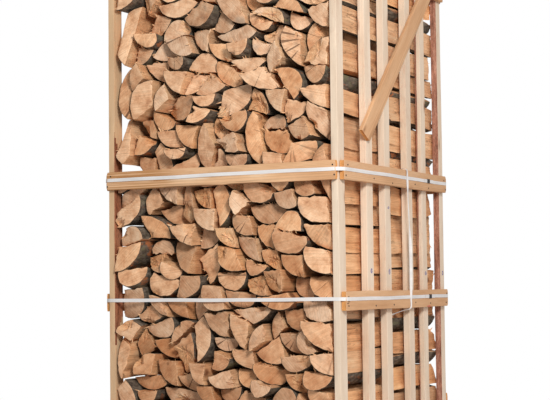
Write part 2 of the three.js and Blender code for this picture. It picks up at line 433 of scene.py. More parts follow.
def log_end_material():
    s = Surface("log_end", roughness=0.8, specular=0.25)
    place, tone = s.wood()
    at_bark, at_rim, _ = s.parts(s.attribute("edge"))
    ring, out = rings(s, place, YEAR, 0.012)
    x, y, _ = s.parts(place)
    # Rays and a few drying cracks run out from the heart.
    polar = s.joined(s.math("ARCTAN2", y, x) * 14.0, out * 8.0, tone[0] * 40.0)
    ray = s.noise(polar, 1.0, detail=3, roughness=0.6)
    crack = s.noise(polar, 0.42, detail=1).step(0.665, 0.70) * tone[2].step(0.72, 0.92)
    # The saw leaves fine straight marks across the end, a different way on each log.
    turn = tone[1] * 2.2 + 0.4
    across = x * s.math("COSINE", turn) + y * s.math("SINE", turn)
    saw = s.noise(s.joined(across * 190.0, tone[2] * 50.0), 1.0, detail=4, roughness=0.7)
    patch = s.noise(place, 19, detail=5, roughness=0.66)
    grain = s.noise(place, 520)
    s.tones(
        patch, (0.24, 166, 112, 81), (0.40, 209, 159, 123), (0.56, 229, 184, 149), (0.76, 243, 207, 175)
    )
    grey = s.noise(place, 11, detail=4, offset=(3, 7, 1)).step(0.58, 0.74, 0, 0.6)
    s.paint(grey * tone[2].step(0.3, 0.6), 160, 138, 120)
    light = (ray - 0.5) * 0.36 + (saw - 0.5) * 0.85 + (ring - 0.5) * 0.06 + (grain - 0.5) * 0.22 + 1.0
    s.shade(light)
    tint_log(s, tone)
    s.paint(crack * 0.8, 84, 50, 30)
    knot = s.cells(place, (6.5, 6.5, 0.6))
    s.paint(knot.step(0.025, 0.075, 0.6, 0.0), 124, 76, 48)
    # The split edges are paler: torn fibres, and a painted highlight along the rim.
    frayed_and_highlit = s.noise(place, 230, detail=3).step(0.42, 0.62, 0, 0.75) * at_rim.step(0.35, 0.9)
    s.paint(frayed_and_highlit, 240, 206, 168)
    # The bark shows as a dark line at the rim, with a paler line of young wood inside it.
    bark = at_bark + s.noise(place, 160) * 0.6 - 0.3
    s.paint(bark.step(0.10, 0.30, 0, 0.4), 228, 192, 154)
    s.paint(bark.step(0.48, 0.60), 78, 58, 44)
    s.bump(saw, 0.0020, 0.8)
    s.bump(patch * 1.2 - crack, 0.0022, 0.8)
    return s.done()


def log_split_material():
    s = Surface("log_split", roughness=0.78, specular=0.25)
    place, tone = s.wood()
    fibre = s.noise(place, (170, 170, 4.5), detail=5, roughness=0.66, distortion=0.3)
    fine = s.noise(place, (800, 800, 22))
    band = s.noise(place, (36, 36, 2.0), detail=4, roughness=0.62)
    patch = s.noise(place, (9, 9, 6), detail=5, roughness=0.62)
    s.tones(
        band * 0.55 + patch * 0.45,
        (0.30, 172, 120, 84), (0.43, 216, 162, 120), (0.55, 234, 184, 142), (0.72, 246, 212, 174),
    )
    s.shade((fibre - 0.5) * 0.75 + (fine - 0.5) * 0.30 + 1.0)
    tint_log(s, tone)
    groove = s.noise(place, (100, 100, 2.2), detail=3, offset=(5, 5, 5)).step(0.61, 0.72, 0, 0.5)
    s.paint(groove, 120, 72, 44)
    knot = s.cells(place, (7, 7, 5), (2, 4, 6))
    s.paint(knot.step(0.06, 0.16, 0.8, 0.0), 104, 58, 34)
    # A few dark fissures follow the fibres.
    wander = s.noise(place, (30, 30, 3.0), detail=3, roughness=0.6, offset=(8, 3, 1))
    fissure = s.math("ABSOLUTE", wander - 0.5).step(0.002, 0.012, 0.55, 0.0)
    some = s.noise(place, (6, 6, 5), offset=(1, 9, 4)).step(0.50, 0.58)
    s.paint(fissure * some, 70, 40, 24)
    # Beside the sawn end the split faces are paler: freshly torn fibres, and a painted highlight along the
    # edge.
    depth = s.parts(s.attribute("edge"))[2]
    s.paint(depth.step(0.0, 0.020, 0.6, 0.0) * fine.step(0.40, 0.60), 240, 200, 156)
    s.bump(fibre, 0.005, 0.9)
    s.bump(fine, 0.0009, 0.6)
    return s.done()


def log_bark_material():
    s = Surface("log_bark", roughness=0.92, specular=0.2)
    place, tone = s.wood()
    lump = s.noise(place, (60, 60, 26), detail=5, roughness=0.68)
    spot = s.noise(place, (26, 26, 13), detail=3, roughness=0.6, offset=(4, 1, 8))
    fine = s.noise(place, (420, 420, 200), detail=3, roughness=0.7)
    s.tones(lump, (0.30, 52, 44, 38), (0.46, 94, 84, 74), (0.60, 124, 113, 100), (0.78, 164, 155, 140))
    mossy = spot.step(0.50, 0.66) * tone[2].step(0.45, 0.75, 0.15, 0.75)
    s.paint(mossy, 116, 112, 84)
    peeled = spot.step(0.36, 0.46, 1, 0) * tone[1].step(0.45, 0.70)
    s.paint(peeled, 170, 108, 70)
    # The first tone number also makes the bark paler towards the top and beside the slats, partly as
    # painted light.
    s.shade((fine * 0.7 + 0.65) * (tone[0] * 0.4 + 0.78))
    s.bump(lump, 0.006, 0.9)
    s.bump(fine, 0.0012, 0.7)
    return s.done()


def timber_material(name, stops, ring_depth, dirt, marks=()):
    """Sawn softwood: a pale base, ring lines along the faces, knots and a slightly furry surface."""
    s = Surface(name, roughness=0.72)
    place, tone = s.wood()
    ring, _ = rings(s, place, TIMBER_YEAR, 0.010)
    patch = s.noise(place, (16, 16, 2.4), detail=4, roughness=0.6)
    fur = s.noise(place, (520, 520, 30), detail=3, roughness=0.65)
    saw = s.noise(place, (3, 3, 300), detail=1)
    late = s.math("POWER", ring, 2.6)
    light = (late - 0.3) * -ring_depth + (fur - 0.5) * 0.20 + (saw - 0.5) * 0.05 + 1.0
    s.tones(patch, *stops)
    s.shade(light * (tone[0] * 0.11 + 0.95))
    # Some pieces, most of them on the left, are darker and more golden.
    s.blend(tone[1], GOLDEN, "MULTIPLY")
    knot = s.cells(place, (8, 8, 2.6))
    s.paint(knot.step(0.05, 0.11, 0.55, 0.0), 166, 112, 72)
    s.paint(knot.step(0.025, 0.05, 0.8, 0.0), 92, 56, 34)
    speck = s.noise(place, (150, 150, 36), detail=3, roughness=0.7, offset=(4, 4, 4))
    blush = s.noise(place, (12, 12, 1.1), offset=(6, 1, 2))
    s.paint(speck.step(0.50, 0.66) * blush.step(0.50, 0.64, 0, 0.22), 196, 130, 104)
    stain = s.noise(place, (7, 7, 1.5), detail=5, roughness=0.7, offset=(9, 2, 4))
    s.paint(stain.step(0.56, 0.74, 0, dirt), 142, 112, 84)
    for centre, size, tint in marks:
        s.paint(chalk_mark(s, centre, size), *tint)
    s.bump(fur, 0.0007, 0.6)
    s.bump(saw, 0.0004, 0.5)
    return s.done()


def chalk_mark(s, centre, size):
    """A small smudged dab of crayon around a place on the crate, 0 to 1."""
    where = s.place_on_crate()
    inside = s.length(s.scaled(where, size, centre, "TEXTURE")).step(0.6, 1.0, 0.95, 0.0)
    return inside * s.noise(where, (0, 190, 130), detail=3, distortion=1.5).step(0.42, 0.52)


def timber_end_material(name, *base):
    """End grain of sawn timber: darker and warmer than its faces, with curved rings."""
    s = Surface(name, roughness=0.8, specular=0.25)
    place, _ = s.wood()
    ring, _ = rings(s, place, TIMBER_YEAR, 0.010)
    patch = s.noise(place, 60, detail=4, roughness=0.65)
    s.colour = rgb(*base)[:3]
    s.shade(ring * -0.22 + (patch - 0.5) * 0.6 + 1.1)
    s.bump(patch, 0.0012, 0.7)
    return s.done()


def weathered_material():
    """The reddish brown, speckled inner bark left on the edges of a few pieces."""
    s = Surface("inner_bark", roughness=0.9, specular=0.2)
    place, tone = s.wood()
    patch = s.noise(place, (60, 60, 9), detail=5, roughness=0.7)
    speck = s.noise(place, (300, 300, 120), detail=3, roughness=0.75)
    s.tones(patch, (0.30, 106, 68, 54), (0.50, 168, 118, 98), (0.74, 206, 160, 140))
    s.shade(speck * 2.0 + 0.02)
    # Some pieces, most of them on the left, are darker and more golden.
    s.blend(tone[1], GOLDEN, "MULTIPLY")
    s.bump(patch, 0.003, 0.8)
    s.bump(speck, 0.001, 0.8)
    return s.done()


def smooth_material(name, roughness, metallic, tone_scale, dark, light, bump_scale, bump_detail):
    """A smooth surface that varies a little between two screen colours."""
    s = Surface(name, roughness, specular=0.5)
    s.shader.inputs["Metallic"].default_value = metallic
    place = s.place_on_crate()
    s.tones(s.noise(place, tone_scale, detail=3), (0.3, *dark), (0.7, *light))
    s.bump(s.noise(place, bump_scale, detail=bump_detail), 0.0003, 0.5)
    return s.done()


def slat_marks():
    """Blue dabs on the outer faces of some right-hand uprights, left from marking the timber."""
    marks = []
    for node, rise, tall in (
        ("right_slat_1", 0.006, 0.013), ("right_slat_2", 0.003, 0.016), ("right_slat_4", -0.003, 0.012),
        ("right_post_back", -0.002, 0.013), ("right_slat_2", 0.275, 0.008),
    ):
        low, high = span(node)
        centre = (high[0], low[1] + 0.62 * (high[1] - low[1]), MARK_HEIGHT + rise)
        marks.append((centre, (0.01, 0.012, tall), BLUE_CRAYON))
    return marks


def board_marks():
    """A red dab on the lower side board; scuffs and grime on the middle front board, whose left end is
    darker and browner.
    """
    low, high = span("right_side_board_lower")
    marks = [((high[0], high[1] * 0.571, low[2] + 0.003), (0.02, 0.028, 0.006), RED_CRAYON)]
    for along, rise in ((0.018, 0.030), (0.026, 0.036)):
        marks.append(((high[0], low[1] + along, low[2] + rise), (0.02, 0.012, 0.003), CRACK))
    low, high = span("front_board_middle")
    strap_low, _ = span("strap_middle")
    for across, size in ((-0.14, 0.13), (-0.36, 0.08), (0.20, 0.06)):
        marks.append(((across, low[1], strap_low[2] - 0.006), (size, 0.02, 0.007), SCUFF))
        marks.append(((across - 0.06, low[1], low[2] + 0.002), (size * 1.8, 0.02, 0.011), GRIME))
    # The left end of the middle front board is darker and browner.
    marks.append(((low[0], low[1], (low[2] + high[2]) / 2), (0.42, 0.03, 0.09), DARKER_LEFT_END))
    return marks


SLAT_TONES = (0.25, 218, 194, 169), (0.5, 232, 212, 189), (0.75, 238, 222, 203)
BOARD_TONES = (0.25, 196, 148, 106), (0.5, 218, 173, 131), (0.75, 230, 190, 150)
BASE_TONES = (0.25, 158, 122, 86), (0.5, 182, 146, 106), (0.75, 200, 166, 126)

BOARD_END = timber_end_material("board_end", 212, 152, 92)
INNER_BARK = weathered_material()
# Each material slot of the timber: its faces and its end grain.
WOODS = {
    "slat_timber": (
        timber_material("slat_timber", SLAT_TONES, 0.07, 0.15, slat_marks()),
        timber_end_material("slat_end", 206, 168, 128),
    ),
    "board_timber": (timber_material("board_timber", BOARD_TONES, 0.16, 0.35, board_marks()), BOARD_END),
    "base_timber": (timber_material("base_timber", BASE_TONES, 0.16, 0.5), BOARD_END),
}
STRAP_PLASTIC = smooth_material(
    "strap_plastic", 0.38, 0.0, (9, 9, 40), (220, 218, 217), (240, 238, 237), 900, 1
)
DARK_STEEL = smooth_material("dark_steel", 0.42, 0.35, 300, (34, 29, 28), (62, 54, 52), 300, 3)
LOG_MATERIALS = [log_end_material(), log_split_material(), log_bark_material()]


# ---- Sawn timber ----------------------------------------------------------------------------

STATION = 0.024  # spacing of the rings of points along a piece
FACE_STEP = 0.012  # spacing of the points round it
FACE_STEP_WANED = 0.005
CORNER = 0.0016  # how far the worn edges are rounded
SAWN_WANDER = 0.0003
BOW = 0.0008
WANE_REACH = 0.0125  # how far the round of the tree reaches in from a waned edge
WANE_DEPTH = 0.24  # how deep it cuts into each face there, as a share of the reach
END_FACE = 0.0035  # points this near to a face belong to it
DARK_RUNS_OUT = 0.15  # how much shorter the inner bark is at one edge of its face
END_BEVEL = (0.0015, 0.0012)  # how long and how deep
END_ROUND = 0.014  # how far the corners of a badly worn board end are rounded
# The share of that rounding at a piece's two ends.
LITTLE_WEAR = (0.25, 0.25)
END_WEAR = {
    "right_side_board_middle": (0.2, 1.0), "right_side_board_lower": (0.2, 0.8),
    "front_board_middle": (0.7, 0.2), "back_board_middle": (0.5, 0.9), "left_side_board_middle": (0.8, 0.4),
}
# Signs across each piece for the long edge where bark is left; a slat's ways across are X and Y.
WANES = {"right_slat_4": (-1, -1), "left_slat_2": (1, -1), "left_slat_4": (1, 1)}
# Faces that show inner bark: the side, and from what height to what height.
WHOLE = (-1.0, 3.0)
DARK_FACES = {
    "right_post_back": ("-y", WHOLE), "left_post_front": ("+x", (0.44, 1.36)), "left_slat_1": ("-y", WHOLE),
}
# How much darker and more golden some pieces are, 0 to 1.
TINTS = {"left_post_front": 1.0, "left_slat_3": 0.5, "right_brace": 0.1, "left_side_board_lower": 0.6}
BRACE_FOOT = (0.076, 0.040)  # how far a brace's lower end runs across and how much it drops
SHARP_TIMBER = 35


def sawn_section(width, thickness, step):
    """A rectangle with worn corners as anticlockwise points, and the outward way at each."""
    points, normals = [], []
    corners = np.array([[-1, -1], [1, -1], [1, 1], [-1, 1]]) * np.array([width, thickness]) / 2
    for a, b in zip(corners, np.roll(corners, -1, 0)):
        along = unit(b - a)
        start, end = a + along * CORNER, b - along * CORNER
        for t in np.linspace(0, 1, max(2, round(np.linalg.norm(end - start) / step) + 1)):
            points.append(start + (end - start) * t)
            normals.append((along[1], -along[0]))
    return np.array(points), np.array(normals)


def straight_place(low, high):
    """The frame of a piece that lies along an axis, as brace_place gives it."""
    size = high - low
    long_axis = int(np.argmax(size))
    axes = [(long_axis + 1) % 3, (long_axis + 2) % 3, long_axis]
    return (low + high) / 2, np.eye(3)[axes], size[axes], (0, 0)


def brace_place(low, high):
    """A brace's middle, its width, thickness and length ways, its size, and how its ends slant.

    A slant is how far that end moves along the brace from its middle line to its edge.
    """
    near = np.array([low[1], low[2] + BRACE_FOOT[1]])
    far = np.array([low[1] + BRACE_FOOT[0], low[2]])
    top = high[1:]
    long_way = unit(top - far)
    width_way = np.array([long_way[1], -long_way[0]])
    width = (far - near) @ width_way
    middle = (far + top) / 2 - width_way * width / 2
    ways = np.array([[0, *width_way], [1, 0, 0], [0, *long_way]])
    centre = np.array([(low[0] + high[0]) / 2, *middle])
    size = (width, high[0] - low[0], (top - far) @ long_way)
    return centre, ways, size, ((far - near) @ long_way / width, long_way[0] / long_way[1])


def add_timber(node, slot, rng):
    """One sawn piece in the place of its CAD node."""
    low, high = span(node)
    middle, ways, (width, thickness, length), slants = (
        brace_place(low, high) if node.endswith("brace") else straight_place(low, high)
    )
    half_section = np.array([width, thickness]) / 2
    wane, tint = WANES.get(node), TINTS.get(node, 0.0)
    section, normals = sawn_section(width, thickness, FACE_STEP_WANED if wane else FACE_STEP)
    stations = np.linspace(0, length, max(8, round(length / STATION)))
    stations = np.concatenate([[0, END_BEVEL[0]], stations[1:-1], [length - END_BEVEL[0], length]])
    phase = rng.uniform(0, 6.28, 6)
    # The saw wanders a little along each face, and the whole piece is very slightly bowed.
    seed = np.round(normals @ [1, 2]).astype(int)
    along = stations[:, None]
    wander = np.sin(along * 9 + phase[seed])
    wander += 0.5 * np.sin(along * 41 + 2 * phase[seed] + section.sum(1) * 60)
    local = np.repeat(section[None], len(stations), 0)
    local -= normals * (SAWN_WANDER * (2 + wander))[:, :, None]
    if slot != "base_timber":
        local[:, :, 0] += BOW * np.sin(math.tau * stations / length + phase[0])[:, None]
    local[[0, -1]] *= 1 - END_BEVEL[1] / half_section
    waned = np.zeros(local.shape[:2])
    if wane:
        reach = 1 + 0.22 * np.sin(along * 2.6 + phase[1]) + 0.12 * np.sin(along * 17 + phase[2])
        waned = np.clip(WANE_REACH * reach - np.abs(section - wane * half_section).sum(1), 0, None)
        local -= np.array(wane) * waned[:, :, None] * WANE_DEPTH
    # The corners of the ends are worn round.
    wide = int(width < thickness)
    worn = END_ROUND if slot == "board_timber" else CORNER
    past = np.clip(1 - (half_section[wide] - np.abs(section[:, wide])) / worn, 0, 1)
    pull = worn * (1 - np.sqrt(1 - past**2))
    share = along / length
    slant = (local[:, :, 0] - width / 2) * (slants[0] * (1 - share) + slants[1] * share)
    near_start = np.clip(1 - along / STATION, 0, 1)
    near_end = np.clip(1 - (length - along) / STATION, 0, 1)
    wear = END_WEAR.get(node, LITTLE_WEAR)
    lengthwise = along + slant + pull * (wear[0] * near_start - wear[1] * near_end) - length / 2
    rings = middle + local @ ways[:2] + lengthwise[:, :, None] * ways[2]
    if np.linalg.det(ways) < 0:
        rings, waned = rings[:, ::-1], waned[:, ::-1]
    added, end_faces = close_ends(rings)
    points = np.concatenate([rings.reshape(-1, 3), added])
    sides = ring_faces(numbered(rings))
    bark = (waned.reshape(-1)[sides] > 0).sum(1) >= 3
    if node in DARK_FACES:
        (sign, axis_name), (dark_from, dark_to) = DARK_FACES[node]
        axis = "xyz".index(axis_name)
        face = high[axis] if sign == "+" else low[axis]
        on_face = np.abs(points[sides][:, :, axis] - face).max(1) < END_FACE
        # The bark runs out at a slant across the face at both of its ends.
        middles = points[sides].mean(1)
        runs_out = DARK_RUNS_OUT * (middles[:, 1 - axis] - low[1 - axis]) / (high - low)[1 - axis]
        bark |= on_face & (middles[:, 2] > dark_from + runs_out) & (middles[:, 2] < dark_to - runs_out)
    slots = np.concatenate([bark, np.full(len(end_faces), 2)])
    heart = rng.uniform([0.03, 0.02], [0.10, 0.07]) * rng.choice([-1, 1], 2)
    wood = (points - middle) @ ways.T + [*heart, rng.uniform(5, 95)]
    tone = np.tile([rng.random(), tint, rng.random()], (len(points), 1))
    faces, end = WOODS[slot]
    piece = make_piece(
        node + "_timber", points, sides.tolist() + end_faces, [faces, INNER_BARK, end], slots,
        {"wood": wood, "tone": tone}, SHARP_TIMBER,
    )
    carry(piece, slot, node)


def add_all_timber():
    rng = np.random.default_rng(11)
    for entry in frame["record"]["subparts"]:
        if entry["material_slot"] in WOODS:
            add_timber(entry["node"], entry["material_slot"], rng)


# ---- Straps, seals and nails ----------------------------------------------------------------

STRAP_STEP = 0.022
STRAP_RIDGES = 5
RIDGE_HEIGHT = 0.00008
RIBBON_EDGE = 0.00012  # how far the edges are rounded
STRAP_THICK = 0.0009
CORNER_BEND = 0.010  # the straps turn round the corners on a soft bend this long
# How far the straps stray up and down, and how much they lean, with how often on their way round.
STRAP_STRAY = [(0.0008, 5), (0.0005, 13)]
STRAP_LEAN = (0.05, 9)
STRAP_SLIMMER = 0.0004  # the band is this much narrower than its CAD node
TAIL_REACH = (0.050, 0.062)
TAIL_WIDTH = 0.0142
TAIL_THICK = 0.7  # as a share of the strap's thickness
TAIL_LIFT = (0.0007, 0.0012)  # how far it stands off in the middle, and more at the ends
TAIL_STATIONS = 12
SEAL_STATIONS = 40
SEAL_CRIMPS = 3
CRIMP_DEPTH = (0.0016, 0.0002)  # at the clip's edges and over its face
TIE_WIDTH = 0.0125
TIE_THICK = 0.0008
SHARP_STRAP = 50
SHARP_METAL = 40

# The loose tie's route in metres, over the middle board, down outside both straps and in again.
TIE_ROUTE = [
    (0.541, 0.077, 1.128), (0.542, 0.077, 1.165), (0.545, 0.077, 1.189), (0.553, 0.077, 1.196),
    (0.567, 0.078, 1.196), (0.5755, 0.078, 1.189), (0.5765, 0.079, 1.155), (0.5765, 0.082, 1.110),
    (0.580, 0.088, 0.960), (0.580, 0.095, 0.800), (0.5765, 0.102, 0.672), (0.5765, 0.104, 0.638),
    (0.5755, 0.104, 0.591), (0.567, 0.103, 0.584), (0.553, 0.100, 0.581), (0.540, 0.088, 0.577),
    (0.522, 0.040, 0.566), (0.516, -0.010, 0.556), (0.516, -0.072, 0.545),
]
# Each twist: at what share of the tie's length, over what share, and how far it turns.
TIE_TWISTS = [(0.17, 0.035, -0.35), (0.31, 0.08, 0.5), (0.52, 0.09, -1.2), (0.66, 0.07, -0.7)]
# Where it is rolled lengthwise, over what share, and into how much of an arc.
TIE_CURLS = [(0.31, 0.07, 2.4), (0.76, 0.07, 2.4)]


def strap_outline(strap_node, side_node, face_node):
    """The strap's outside seen from above, as the corner points of its eight straight runs."""
    _, high = span(strap_node)
    _, side_high = span(side_node)
    _, face_high = span(face_node)
    quarter = [(high[0], side_high[1]), (face_high[0], high[1])]
    signs = [(1, 1, 1), (-1, 1, -1), (-1, -1, 1), (1, -1, -1)]
    return np.array([(x * sx, y * sy) for sx, sy, step in signs for x, y in quarter[::step]])


def rounded_route(corners):
    """Points along a closed outline whose corners are replaced by short curves."""
    bends = []
    for before, corner, after in zip(np.roll(corners, 1, 0), corners, np.roll(corners, -1, 0)):
        room = min(np.linalg.norm(corner - before), np.linalg.norm(after - corner)) * 0.45
        cut = min(CORNER_BEND, room)
        start, end = corner - unit(corner - before) * cut, corner + unit(after - corner) * cut
        turns = np.linspace(0, 1, 5)[:, None]
        bends.append((1 - turns) ** 2 * start + 2 * turns * (1 - turns) * corner + turns**2 * end)
    route = []
    for bend, following in zip(bends, bends[1:] + bends[:1]):
        gap = following[0] - bend[-1]
        steps = max(1, round(np.linalg.norm(gap) / STRAP_STEP))
        route += [*bend, *(bend[-1] + gap * i / steps for i in range(1, steps))]
    return np.array(route)


def ribbon_rings(centres, out_ways, across_ways, width, thickness, curls=None):
    """Rings of points round a flat ribbon with fine lengthwise ridges; curls are arc angles."""
    share = np.linspace(-0.5, 0.5, 2 * STRAP_RIDGES + 1)
    ridge = RIDGE_HEIGHT * np.cos(np.arange(len(share)) * math.pi)
    edge = np.where(np.abs(share) > 0.49, RIBBON_EDGE, 0)
    rings = []
    for i, (centre, out, across) in enumerate(zip(centres, out_ways, across_ways)):
        curl = max(1e-3, 0 if curls is None else curls[i])
        radius = width / curl
        sideways = np.outer(radius * np.sin(curl * share), across)
        height = radius * (np.cos(curl * share) - 1)
        top = centre + sideways + np.outer(height + ridge - edge, out)
        foot = centre + sideways + np.outer(height + edge - thickness, out)
        rings.append(np.concatenate([top, foot[::-1]]))
    return np.array(rings)


def add_strap(node, side_node, face_node, rng):
    low, high = span(node)
    route = rounded_route(strap_outline(node, side_node, face_node))
    out = outward(route)
    along = travelled(route)
    turns = math.tau * along / along[-1]
    phase = rng.uniform(0, 6.28, 3)
    height = (low[2] + high[2]) / 2
    for (far, times), start in zip(STRAP_STRAY, phase):
        height = height + far * np.sin(times * turns + start)
    out_ways = unit(np.column_stack([out, STRAP_LEAN[0] * np.sin(STRAP_LEAN[1] * turns + phase[2])]))
    tangent = np.column_stack([-out[:, 1], out[:, 0], np.zeros(len(out))])
    width = high[2] - low[2] - STRAP_SLIMMER
    centres = np.column_stack([route, height])
    rings = ribbon_rings(centres, out_ways, np.cross(tangent, out_ways), width, STRAP_THICK)
    faces = ring_faces(numbered(rings), closed=True)
    piece = make_piece(node + "_band", rings.reshape(-1, 3), faces, [STRAP_PLASTIC], sharp=SHARP_STRAP)
    carry(piece, "strap_plastic", node)


def add_strap_tail(seal_node, rng):
    """Where the strap's ends overlap, a second layer runs a few centimetres to both sides."""
    low, high = span(seal_node)
    middle = (low + high) / 2
    reach = rng.uniform(*TAIL_REACH, 2)
    y = np.linspace(middle[1] - reach[0], middle[1] + reach[1], TAIL_STATIONS)
    lift = TAIL_LIFT[0] + TAIL_LIFT[1] * np.abs((y - middle[1]) / reach.max()) ** 3
    centres = np.column_stack([low[0] + lift, y, np.full(TAIL_STATIONS, middle[2])])
    out_ways, across_ways = (np.tile(way, (TAIL_STATIONS, 1)) for way in ([1.0, 0, 0], [0, 0, -1.0]))
    rings = ribbon_rings(centres, out_ways, across_ways, TAIL_WIDTH, STRAP_THICK * TAIL_THICK)
    add_tube(seal_node.replace("seal", "tail"), rings, STRAP_PLASTIC, SHARP_STRAP, "strap_plastic")


def add_seal(node):
    """A folded steel clip round both layers of the strap, nipped in where it was crimped."""
    low, high = span(node)
    middle = (low[2] + high[2]) / 2
    rings = []
    for t in np.linspace(0, 1, SEAL_STATIONS):
        nip = max(0.0, math.cos(math.tau * (t - 0.5) * (SEAL_CRIMPS + 1))) ** 6 * (0.1 < t < 0.9)
        half = (high[2] - low[2]) / 2 - CRIMP_DEPTH[0] * nip
        top = high[0] - CRIMP_DEPTH[1] * nip
        side = [(low[0] - 0.001, half), (low[0] + 0.0003, half + 0.0002), (top - 0.0004, half)]
        side.append((top, half - 0.001))
        profile = [(x, -z) for x, z in side] + [(top, 0.0)] + side[::-1]
        rings.append([(x, low[1] + (high[1] - low[1]) * t, middle + z) for x, z in profile])
    add_tube(node + "_clip", np.array(rings), DARK_STEEL, SHARP_METAL, "fastener_steel", node)


def smooth_route(points, step):
    """Points a given step apart on a centripetal Catmull-Rom curve."""
    points = np.array(points)
    points = np.concatenate([[2 * points[0] - points[1]], points, [2 * points[-1] - points[-2]]])
    curve = []
    for a, b, c, d in zip(points, points[1:], points[2:], points[3:]):
        t1 = np.linalg.norm(b - a) ** 0.5
        t2 = t1 + np.linalg.norm(c - b) ** 0.5
        t3 = t2 + np.linalg.norm(d - c) ** 0.5
        for t in np.linspace(t1, t2, max(2, round(np.linalg.norm(c - b) / step)), endpoint=False):
            ab = a + (b - a) * t / t1
            bc = b + (c - b) * (t - t1) / (t2 - t1)
            cd = c + (d - c) * (t - t2) / (t3 - t2)
            left = ab + (bc - ab) * t / t2
            right = bc + (cd - bc) * (t - t1) / (t3 - t1)
            curve.append(left + (right - left) * (t - t1) / (t2 - t1))
    return np.array([*curve, points[-2]])


def add_tie(node):
    route = smooth_route(TIE_ROUTE, 0.004)
    along = travelled(route)
    t = along / along[-1]
    turn, curl = (
        sum(angle * np.exp(-(((t - middle) / share) ** 2)) for middle, share, angle in changes)
        for changes in (TIE_TWISTS, TIE_CURLS)
    )
    tangent = unit(np.gradient(route, axis=0))
    out = unit(np.cross(tangent, [0, 1, 0]))
    across = np.cross(out, tangent)
    cos, sin = np.cos(turn)[:, None], np.sin(turn)[:, None]
    rings = ribbon_rings(
        route, out * cos + across * sin, across * cos - out * sin, TIE_WIDTH, TIE_THICK, curl
    )
    add_tube(node + "_ribbon", rings, STRAP_PLASTIC, SHARP_STRAP, "strap_plastic", node)


NAIL_RADIUS = 0.0036
NAIL_SIDES = 10
# Shares of that radius with their heights above the board.
NAIL_PROFILE = [(1.0, -0.0012), (1.0, 0.0003), (0.85, 0.0007), (0.45, 0.0009)]
NAIL_TOP = 0.00095
NAILS_IN_POST = (0.24, 0.76)  # shares of the board's height; a slat has one nail, lower down
NAIL_IN_SLAT = (0.15, 0.30)
NAIL_ASTRAY = (0.010, 0.04)  # along the board in metres, and up it as a share of its height
UPRIGHTS = ("post_front", "slat_1", "slat_2", "slat_3", "slat_4", "post_back")


def nail_head(place, out):
    """A slightly domed round head on a face that looks along one axis."""
    axis = int(np.argmax(np.abs(out)))
    first, second = np.eye(3)[(axis + 1) % 3], np.eye(3)[(axis + 2) % 3]
    angles = np.arange(NAIL_SIDES) * math.tau / NAIL_SIDES
    circle = np.outer(np.cos(angles), first) + np.outer(np.sin(angles), second)
    if out[axis] < 0:
        circle = circle[::-1]
    rings = np.array([place + circle * NAIL_RADIUS * r + out * h for r, h in NAIL_PROFILE])
    middles = [place + out * NAIL_TOP, place + out * NAIL_PROFILE[0][1]]
    points = np.concatenate([rings.reshape(-1, 3), middles])
    faces = ring_faces(numbered(rings)).tolist()
    last = (len(rings) - 1) * NAIL_SIDES
    for j in range(NAIL_SIDES):
        k = (j + 1) % NAIL_SIDES
        faces += [(last + j, last + k, len(points) - 2), (k, j, len(points) - 1)]
    return points, faces


def add_nails():
    """Nail heads where the boards cross the posts and slats."""
    rng = np.random.default_rng(21)
    nails = []
    for entry in frame["record"]["subparts"]:
        board = entry["node"]
        low, high = span(board)
        side = board.split("_")[0]
        if "_side_board_" in board:
            out = np.array([1.0 if side == "right" else -1.0, 0, 0])
            posts = [f"{side}_{name}" for name in UPRIGHTS]
        elif "_board_" in board and side in ("front", "back"):
            out = np.array([0, 1.0 if side == "back" else -1.0, 0])
            posts = [f"left_post_{side}", f"right_post_{side}"]
        else:
            continue
        axis = int(np.argmax(np.abs(out)))
        along = 1 - axis
        face = high[axis] if out[axis] > 0 else low[axis]
        for post in posts:
            post_low, post_high = span(post)
            middle = (max(post_low[along], low[along]) + min(post_high[along], high[along])) / 2
            for rise in NAILS_IN_POST if "post" in post else (rng.uniform(*NAIL_IN_SLAT),):
                along_by, up_by = (rng.uniform(-far, far) for far in NAIL_ASTRAY)
                place = np.zeros(3)
                place[axis] = face
                place[along] = middle + along_by
                place[2] = low[2] + (high[2] - low[2]) * (rise + up_by)
                nails.append(nail_head(place, out))
    points = np.concatenate([head for head, _ in nails])
    starts = np.cumsum([0] + [len(head) for head, _ in nails])
    faces = [[i + start for i in face] for (_, its), start in zip(nails, starts) for face in its]
    carry(make_piece("nail_heads", points, faces, [DARK_STEEL], sharp=SHARP_METAL), "fastener_steel")


def add_fastenings():
    rng = np.random.default_rng(31)
    add_strap("strap_middle", "right_side_board_middle", "front_board_middle", rng)
    add_strap("strap_lower", "right_side_board_lower", "right_post_front", rng)
    for seal in ("strap_seal_middle", "strap_seal_lower"):
        add_strap_tail(seal, rng)
        add_seal(seal)
    add_tie("strap_tie")
    add_nails()


# ---- Firewood: sections of split logs -------------------------------------------------------

SPLIT, BARK = 0, 1
OUTLINE_STEP = 0.0095
RAGGED = 2.4  # how much rougher the split edges of some logs are
RAGGED_SHARE = 0.42
CORNER_TURN = 0.35  # an outline that turns by more than this has a corner there
WAVES = ((2, 0.0020), (3, 0.0018), (5, 0.0014), (8, 0.0011), (13, 0.0008))  # round an edge, and height
BARK_WAVES = 0.40  # the share of them that bark edges have
LOG_AREA = (0.0034, 0.0150)  # smallest and largest section, in square metres
# Where straight splits lie, as shares of the tree's radius above or below its heart.
HALF_SPLIT = (-0.05, 0.25)
SLAB_SPLIT = (0.15, 0.45)
WEDGE_SPLIT = 0.05
BLUNT_SPLIT = (0.25, 0.48)
INNER_SPLIT = (0.72, 0.85)
# Each kind's share of the logs, radius of the tree, and opening of the wedge in degrees.
LOG_KINDS = {
    "quarter": (0.18, (0.080, 0.120), (58, 100)),
    "sixth": (0.21, (0.100, 0.150), (36, 64)),
    "half": (0.07, (0.052, 0.082), None),
    "blunt": (0.20, (0.105, 0.150), (40, 72)),
    "inner": (0.30, (0.130, 0.170), (34, 58)),
    "slab": (0.04, (0.075, 0.115), None),
}


